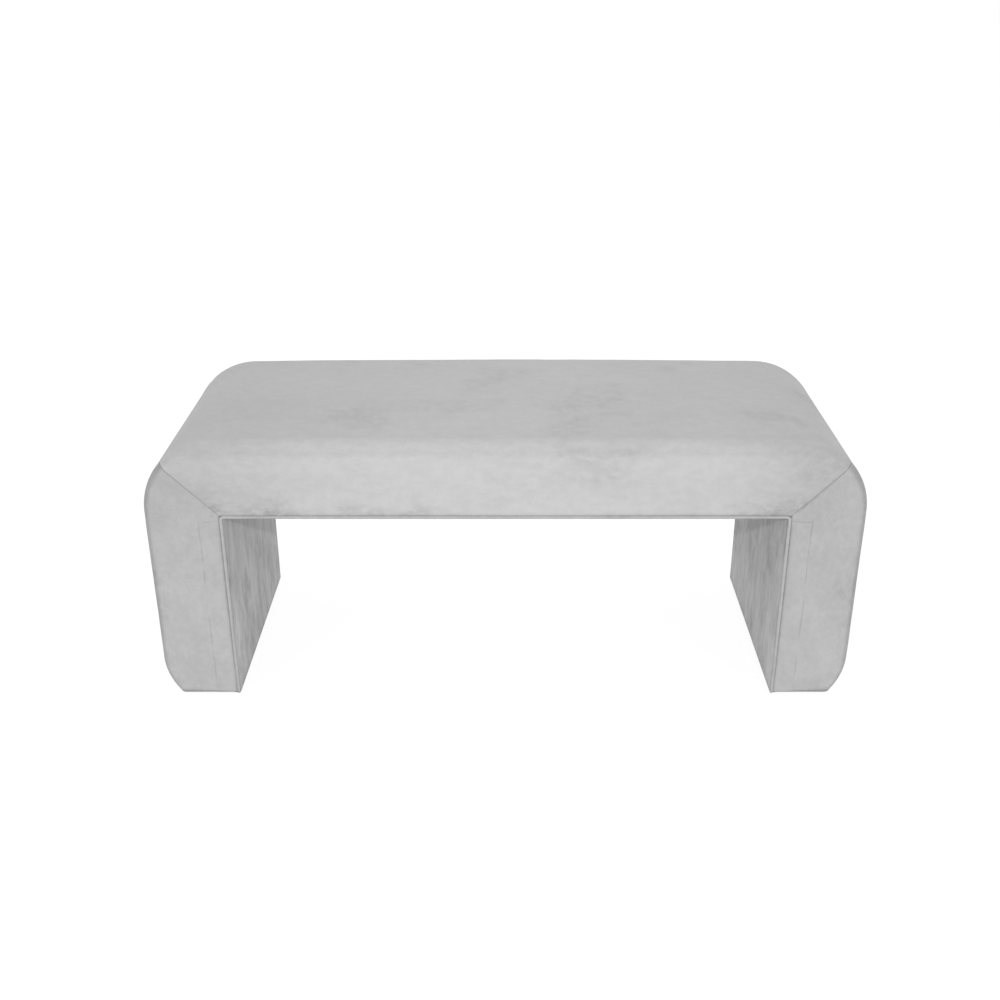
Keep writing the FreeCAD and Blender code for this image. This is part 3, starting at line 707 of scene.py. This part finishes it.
def soft_noise(points, scale, seed):
    """Smooth noise from -1 to 1 at every point of a grid."""
    offset = Vector([seed * stride for stride in NOISE_STRIDE])
    flat = [noise.noise(Vector(point) * scale + offset) for point in points.reshape(-1, 3)]
    return np.array(flat).reshape(points.shape[:-1])


def close_to(distance, width):
    """1 on a line, falling off to 0 within about two widths of it."""
    return np.exp(-((distance / width) ** 2))


def short_of(distance):
    """From 1 well short of a line to 0 well past it, over a short step."""
    return 0.5 - 0.5 * np.tanh(distance / BOARD_STEP)


def cloth_relief(panel, gap, crowned):
    """How far each grid point stands out of the plain form, and its painted shade at seam and hem."""
    points = panel.points
    from_seam = gap[:, None]
    lift = BROAD_WAVE * soft_noise(points, scale=9, seed=1)
    lift += FINE_WAVE * soft_noise(points, scale=24, seed=2)
    if crowned:
        inside = np.clip(1 - (points[..., 0] / corner_x) ** 2, 0, 1)
        lift += crown * inside * np.clip(1 - panel.top_share ** 2, 0, 1) ** 1.5
    else:
        over_board = short_of(np.abs(points[..., 0]) - timber_x) * short_of(points[..., 2] - board_z)
        lift += BOARD_PROUD * over_board
    pucker = PUCKER_DEPTH + PUCKER_CHANGE * soft_noise(points, scale=90, seed=3)
    lift -= SEAM_DEPTH * close_to(from_seam, SEAM_WIDTH) + pucker * np.exp(-from_seam / PUCKER_REACH)
    hem = close_to(panel.apron_share * seam_height, HEM_WIDTH)
    lift -= HEM_DEPTH * hem
    # The second value is painted shade: a thin line down the seam and a fainter one along the hem.
    return lift, np.maximum(close_to(from_seam, SEAM_SHADE_WIDTH), hem * HEM_SHADE)


print("seam", SEAM_DEPTH / MILLIMETRE, "mm deep, crown", crown / MILLIMETRE, "mm high")

# %% [markdown]
# A cover is its panel, moved by the swelling and the relief. It stands for the CAD cover and for
# the foam and padding inside it, and the foot of each leg cover is folded under the leg.

# %% Sew the covers
FLAP_STEPS = np.array([1.5, 6, 12]) * MILLIMETRE


def cloth_piece(name, points, out, paint, material):
    """A soft piece from a grid of points, with its painted seam shade laid on."""
    mesh = grid_mesh(name, points)
    face_out(mesh, points, out)
    layer = mesh.attributes.new("seam_shade", "FLOAT", "POINT")
    layer.data.foreach_set("value", np.asarray(paint, dtype=np.float32).ravel())
    mesh.materials.append(material)
    mesh.shade_smooth()
    piece = bpy.data.objects.new(name, mesh)
    bpy.context.scene.collection.objects.link(piece)
    return piece


def turn_under(points, out, paint):
    """Fold the foot of a leg cover under the leg."""
    foot = points[-1]
    inward = -out[-1] * np.array([1.0, 1.0, 0.0])
    inward /= np.maximum(np.linalg.norm(inward, axis=1, keepdims=True), TINY)
    flaps = []
    for step in FLAP_STEPS:
        flap = foot + inward * step
        flap[:, 2] = foot_z
        flaps.append(flap)
    points = np.concatenate([points, np.stack(flaps)])
    paint = np.concatenate([paint, np.tile(paint[-1], (len(FLAP_STEPS), 1))])
    return points, paint


def sew_cover(node, padding, pattern, material, leg):
    """One velvet cover, riding on the bench in place of its CAD cover and the padding in it."""
    line_points, line_out, inner, gap = pattern
    side = math.copysign(1, line_points[:, 0].mean())
    tuck = np.array([-side, 0]) if leg else np.array([0, -1])
    panel = Panel(line_points, line_out, inner, TURN_UNDER * tuck)
    lift, seam_shade = cloth_relief(panel, gap, crowned=not leg)
    move = swell(panel.points, panel.out)
    outward = (move * panel.out).sum(axis=-1)
    slide = move - outward[..., None] * panel.out
    outward = np.maximum(outward * panel.free + lift, FOAM_LIMIT)
    shaped = panel.points + slide + outward[..., None] * panel.out
    if leg:
        shaped, seam_shade = turn_under(shaped, panel.out, seam_shade)
    cover = cloth_piece(f"sewn_{node}", shaped, panel.out, seam_shade, material)
    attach(cover, "root")
    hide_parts(node, *padding)
    print(cover.name, len(cover.data.polygons), "faces")


seat_padding = ["seat_foam", "front_apron_padding", "back_apron_padding"]
seat_pattern = (seat_points, seat_out, seat_inner, seat_gap)
sew_cover("seat_cover", seat_padding, seat_pattern, seat_velvet, leg=False)
for name, side in (("left", -1), ("right", 1)):
    leg_padding = [f"{name}_leg_{part}" for part in ("foam", "front_padding", "back_padding")]
    turned = np.array([side, 1.0])
    leg_pattern = (leg_points * turned, leg_out * turned, leg_inner * turned, leg_gap)
    sew_cover(f"{name}_leg_cover", leg_padding, leg_pattern, leg_velvet, leg=True)

# %% [markdown]
# ## The piping
# The edge of the arch is finished with a welt: a cord wrapped in velvet and sewn into the seam.
# It follows the arch as a tube, tight round the two inner corners, and its cover gathers a little
# along the way, so the radius isn't quite even.

# %% Sew in the welts
WELT_STEP = 3 * MILLIMETRE
WELT_SIDES = 14
WELT_BEND_STEPS = 9
WELD = 0.02 * MILLIMETRE
welt_bend = 2 * welt_radius


def welt_path():
    """The middle line of the piping, from the left foot over the arch to the right foot."""
    x = arch_x + welt_radius
    z = arch_z + welt_radius
    up = [(-x, level) for level in np.arange(foot_z, z - welt_bend, WELT_STEP)]
    angles = np.linspace(math.pi, math.pi / 2, WELT_BEND_STEPS)
    bend_x = welt_bend - x + welt_bend * np.cos(angles)
    bend_z = z - welt_bend + welt_bend * np.sin(angles)
    over = [(place, z) for place in np.arange(-x + welt_bend, 0, WELT_STEP)[1:]]
    half = [*up, *zip(bend_x, bend_z), *over]
    return half + [(-place, level) for place, level in reversed(half)]


def sew_welt(name, face):
    """A round velvet-covered cord along the arch, at the front or the back."""
    path = np.array(welt_path())
    ahead = np.gradient(path, axis=0)
    ahead /= np.linalg.norm(ahead, axis=1, keepdims=True)
    aside = np.column_stack([-ahead[:, 1], ahead[:, 0]])
    y = face * (half_depth - welt_radius)
    centres = np.column_stack([path[:, 0], np.full(len(path), y), path[:, 1]])
    gather = 1 + 0.05 * soft_noise(centres, scale=120, seed=5)
    gather += 0.03 * soft_noise(centres, scale=45, seed=6)
    rings = []
    for turn in np.linspace(0, 2 * math.pi, WELT_SIDES + 1):
        flat = path + (welt_radius * gather * math.cos(turn))[:, None] * aside
        depth = y + welt_radius * gather * math.sin(turn)
        rings.append(np.column_stack([flat[:, 0], depth, flat[:, 1]]))
    grid = np.stack(rings, axis=1)
    out = grid - centres[:, None, :]
    piece = cloth_piece(f"sewn_{name}", grid, out, np.zeros(grid.shape[:2]), welt_velvet)
    shaped = bmesh.new()
    shaped.from_mesh(piece.data)
    bmesh.ops.remove_doubles(shaped, verts=shaped.verts, dist=WELD)
    bmesh.ops.holes_fill(shaped, edges=shaped.edges, sides=WELT_SIDES + 2)
    bmesh.ops.recalc_face_normals(shaped, faces=shaped.faces)
    shaped.to_mesh(piece.data)
    shaped.free()
    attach(piece, "root")
    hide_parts(name)
    length = np.linalg.norm(np.diff(path, axis=0), axis=1).sum()
    print(piece.name, "along", round(float(length), 3), "m")


sew_welt("front_welt", -1)
sew_welt("back_welt", 1)

# %% [markdown]
# ## The linings and the dust covers
# The faces of the arch are thin boards with velvet stretched over them, combed up and down. The
# dust covers close the underside of the feet. All are flat sheets that never lie quite flat, so
# each is a fine grid with a gentle wave, given its thickness by Solidify.

# %% Stretch the sheets
SHEET_CELL = 6 * MILLIMETRE
LINING_WAVE = 0.5 * MILLIMETRE
DUST_WAVE = 0.1 * MILLIMETRE
EDGE_FADE = 12 * MILLIMETRE
# Painted shade towards the edges of a sheet.
SHEET_EDGE_SHADE = 0.4
X_AXIS, Y_AXIS, Z_AXIS = 0, 1, 2


def round_corners(points, low, high):
    """Pull the rows of a dust cover in where the leg's outer corners are round."""
    past = np.abs(points[..., Y_AXIS]) - (high.y - edge_radius)
    pull = edge_radius - np.sqrt(edge_radius ** 2 - np.clip(past, 0, edge_radius) ** 2)
    side = math.copysign(1, low.x)
    near, far = sorted((abs(low.x), abs(high.x)))
    share = (np.abs(points[..., X_AXIS]) - near) / (far - near)
    points[..., X_AXIS] -= side * share * pull


def stretch_sheet(node, material, slot, face_axis, side, wave):
    """A sheet that fills the box of its CAD node, seen on one side."""
    low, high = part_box(node)
    first_axis, second_axis = [axis for axis in range(3) if axis != face_axis]
    spans = [high[axis] - low[axis] for axis in (first_axis, second_axis)]
    steps = [
        np.linspace(low[axis], high[axis], int(span / SHEET_CELL))
        for axis, span in zip((first_axis, second_axis), spans)
    ]
    first, second = np.meshgrid(*steps, indexing="ij")
    to_first = np.minimum(first - low[first_axis], high[first_axis] - first)
    to_second = np.minimum(second - low[second_axis], high[second_axis] - second)
    fade = np.clip(np.minimum(to_first, to_second) / EDGE_FADE, 0, 1)
    points = np.zeros((*first.shape, 3))
    points[..., first_axis] = first
    points[..., second_axis] = second
    points[..., face_axis] = high[face_axis] if side > 0 else low[face_axis]
    points[..., face_axis] += side * wave * (soft_noise(points, scale=14, seed=7) - 1) * fade
    if slot == "dust_cloth":
        round_corners(points, low, high)
    out = np.zeros_like(points)
    out[..., face_axis] = side
    # The sheet's edges get painted shade.
    piece = cloth_piece(f"sewn_{node}", points, out, SHEET_EDGE_SHADE * (1 - fade) ** 2, material)
    solid = piece.modifiers.new("thickness", "SOLIDIFY")
    solid.thickness = high[face_axis] - low[face_axis] - wave * 2
    solid.offset = -1
    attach(piece, "root")
    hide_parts(node)
    print(piece.name, [round(span, 4) for span in spans], "m")


stretch_sheet("soffit_lining", lining_velvet, "velvet", Z_AXIS, -1, LINING_WAVE)
for name, side in (("left", -1), ("right", 1)):
    stretch_sheet(f"{name}_leg_lining", lining_velvet, "velvet", X_AXIS, -side, LINING_WAVE)
    dust_cloth = finishes["dust_cloth"]
    stretch_sheet(f"{name}_foot_dust_cover", dust_cloth, "dust_cloth", Z_AXIS, -1, DUST_WAVE)

# %% [markdown]
# ## Floor, light and camera
# The bench stands on a white floor in even studio light: a bright dome of sky, and a strip lamp in
# front at each side that looks down a little more steeply than the viewer. The lamps make the front
# brighter than the top, and the apron throws a wedge of shade on each inner face. To the camera the
# floor glows white, and it keeps a faint shadow.

# %% Lay the floor
FLOOR_SIZE = 12.0
FLOOR_PAPER = (0.90, 0.90, 0.90)
FLOOR_SHADOW = (0.14, 0.14, 0.14)
FLOOR_GLOW = 0.92
WHITE = (1, 1, 1)
bpy.context.scene.view_settings.view_transform = "Standard"

reach = FLOOR_SIZE / 2
floor_mesh = bpy.data.meshes.new("floor")
floor_corners = [(-reach, -reach, 0), (reach, -reach, 0), (reach, reach, 0), (-reach, reach, 0)]
floor_mesh.from_pydata(floor_corners, [], [(0, 1, 2, 3)])
floor = bpy.data.objects.new("floor", floor_mesh)
bpy.context.scene.collection.objects.link(floor)
white = Finish("white_floor")
paper = white.node("ShaderNodeBsdfDiffuse", {}, {"Color": FLOOR_PAPER})
faint = white.node("ShaderNodeBsdfDiffuse", {}, {"Color": FLOOR_SHADOW})
glow = white.node("ShaderNodeEmission", {}, {"Color": WHITE, "Strength": FLOOR_GLOW})
shown = white.node("ShaderNodeAddShader", {}, {0: faint, 1: glow})
seen = white.ray("Camera", "Glossy", "Transmission")
surface = white.node("ShaderNodeMixShader", {}, {0: seen, 1: paper, 2: shown})
white.plug(white.tree.nodes["Material Output"].inputs["Surface"], surface)
floor_mesh.materials.append(white.material)
print("floor", FLOOR_SIZE, "m wide")

# %% Light the bench
SKY = 0.765
LAMP_ASIDE = 2.6
LAMP_AHEAD = 3.2
LAMP_HEIGHT = 2.0
LAMP_AIM_HEIGHT = 0.25
LAMP_WIDTH = 1.2
LAMP_THICKNESS = LAMP_WIDTH / 16
LAMP_POWER = 47
world = bpy.data.worlds.new("studio")
bpy.context.scene.world = world
world.use_nodes = True
sky = Nodes(world.node_tree)
backdrop = world.node_tree.nodes["Background"]
sky.plug(backdrop.inputs["Color"], WHITE)
sky.plug(backdrop.inputs["Strength"], SKY + (1 - SKY) * sky.ray("Camera", "Glossy", "Transmission"))


def strip_lamp(name, side):
    """A wide, low soft box in front at one side: soft along the bench, crisper up and down."""
    lamp = bpy.data.lights.new(name, "AREA")
    lamp.shape = "RECTANGLE"
    lamp.size = LAMP_WIDTH
    lamp.size_y = LAMP_THICKNESS
    lamp.energy = LAMP_POWER
    holder = bpy.data.objects.new(name, lamp)
    holder.location = (side * LAMP_ASIDE, -LAMP_AHEAD, LAMP_HEIGHT)
    aim = Vector((side * LAMP_ASIDE, 0, LAMP_AIM_HEIGHT)) - holder.location
    holder.rotation_euler = aim.to_track_quat("-Z", "Y").to_euler()
    bpy.context.scene.collection.objects.link(holder)


for name, side in (("left", -1), ("right", 1)):
    strip_lamp(f"{name}_lamp", side)
print("sky", SKY, "and two strip lamps")

# %% [markdown]
# The camera stands in front of the middle of the bench, about as high as the eyes of someone
# seated, and looks down at it. Its place and lens were worked out from the bench's size and its
# outline in the photo.

# %% Place the camera
FOCAL_PIXELS = 1245.7
FRAME_PIXELS = 1000
SHIFT_RIGHT_PIXELS = -5.3
SHIFT_UP_PIXELS = 20.5
SENSOR = 36.0
CAMERA_AHEAD = 1.8998
CAMERA_HEIGHT = 1.1219
LOOK_DOWN = math.radians(25.44)
camera = bpy.data.cameras.new("camera")
camera.sensor_width = SENSOR
camera.lens = FOCAL_PIXELS / FRAME_PIXELS * SENSOR
camera.shift_x = SHIFT_RIGHT_PIXELS / FRAME_PIXELS
camera.shift_y = SHIFT_UP_PIXELS / FRAME_PIXELS
viewer = bpy.data.objects.new("camera", camera)
viewer.location = (0, -CAMERA_AHEAD, CAMERA_HEIGHT)
viewer.rotation_euler = (math.pi / 2 - LOOK_DOWN, 0, 0)
bpy.context.scene.collection.objects.link(viewer)
bpy.context.scene.camera = viewer
print("camera", viewer.location[:], "lens", round(camera.lens, 2))
